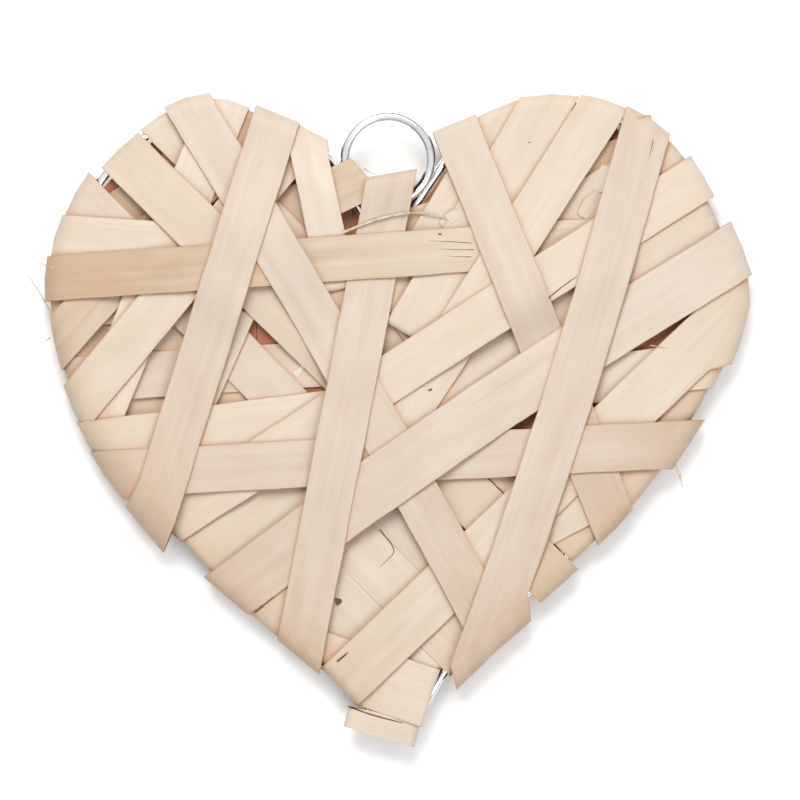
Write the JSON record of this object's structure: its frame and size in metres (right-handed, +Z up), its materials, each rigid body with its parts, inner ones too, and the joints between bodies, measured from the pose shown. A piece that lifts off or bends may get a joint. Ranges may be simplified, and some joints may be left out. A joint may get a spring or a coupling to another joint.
{
  "type": "woven heart ornament",
  "caption": "Heart-shaped hanging ornament: a wire heart wound flat with strips of wood chip, with a plain wire ring in the cleft to hang it by.",
  "frame": {"origin": "on the surface that the ornament lies on, under the middle of its bounding box", "axes": "+Z up out of the front of the heart, +Y towards the cleft and its ring, +X to the right seen from the front"},
  "size_m": [0.1512, 0.1388, 0.0126],
  "materials": {
    "wire": "bright drawn wire",
    "chip_cream": "bare peeled wood, cream",
    "chip_pink": "bare peeled wood, pinkish",
    "chip_tan": "bare peeled wood, tan",
    "chip_pale": "bare peeled wood, whitish"
  },
  "bodies": {
    "root": {"heart_wire_frame": "wire", "hanging_ring": "wire", "chip_tall_right": "chip_pink", "chip_tall_left": "chip_pink", "chip_tall_middle": "chip_pink", "chip_broad_slope": "chip_pink", "chip_left_slope": "chip_pink", "chip_lower_level": "chip_pink", "chip_right_slope": "chip_pink", "chip_upper_rise": "chip_pale", "chip_crown_slope": "chip_cream", "chip_second_rise": "chip_cream", "chip_upper_level": "chip_tan", "chip_lower_rise": "chip_cream", "chip_middle_level": "chip_cream", "chip_second_fall": "chip_cream", "chip_lobe_short": "chip_pale", "chip_lobe_slant": "chip_cream", "chip_left_level": "chip_cream", "chip_pale_slant": "chip_pale", "chip_inner_slant": "chip_cream", "chip_third_fall": "chip_pink", "chip_lobe_slant_outer": "chip_tan", "chip_crown_slant": "chip_cream", "chip_crown_left": "chip_cream", "chip_under_level": "chip_cream", "chip_first_rise": "chip_cream", "chip_cleft_rise": "chip_tan", "chip_tip_wrap": "chip_pale", "chip_bottom_rise": "chip_cream", "chip_first_fall": "chip_cream", "chip_side_rise": "chip_tan", "chip_inner_level": "chip_pink", "chip_fourth_fall": "chip_cream", "chip_tip_band": "chip_pale", "chip_fifth_fall": "chip_cream", "chip_lobe_lining": "chip_tan", "chip_cleft_band": "chip_tan"}
  },
  "joints": []
}
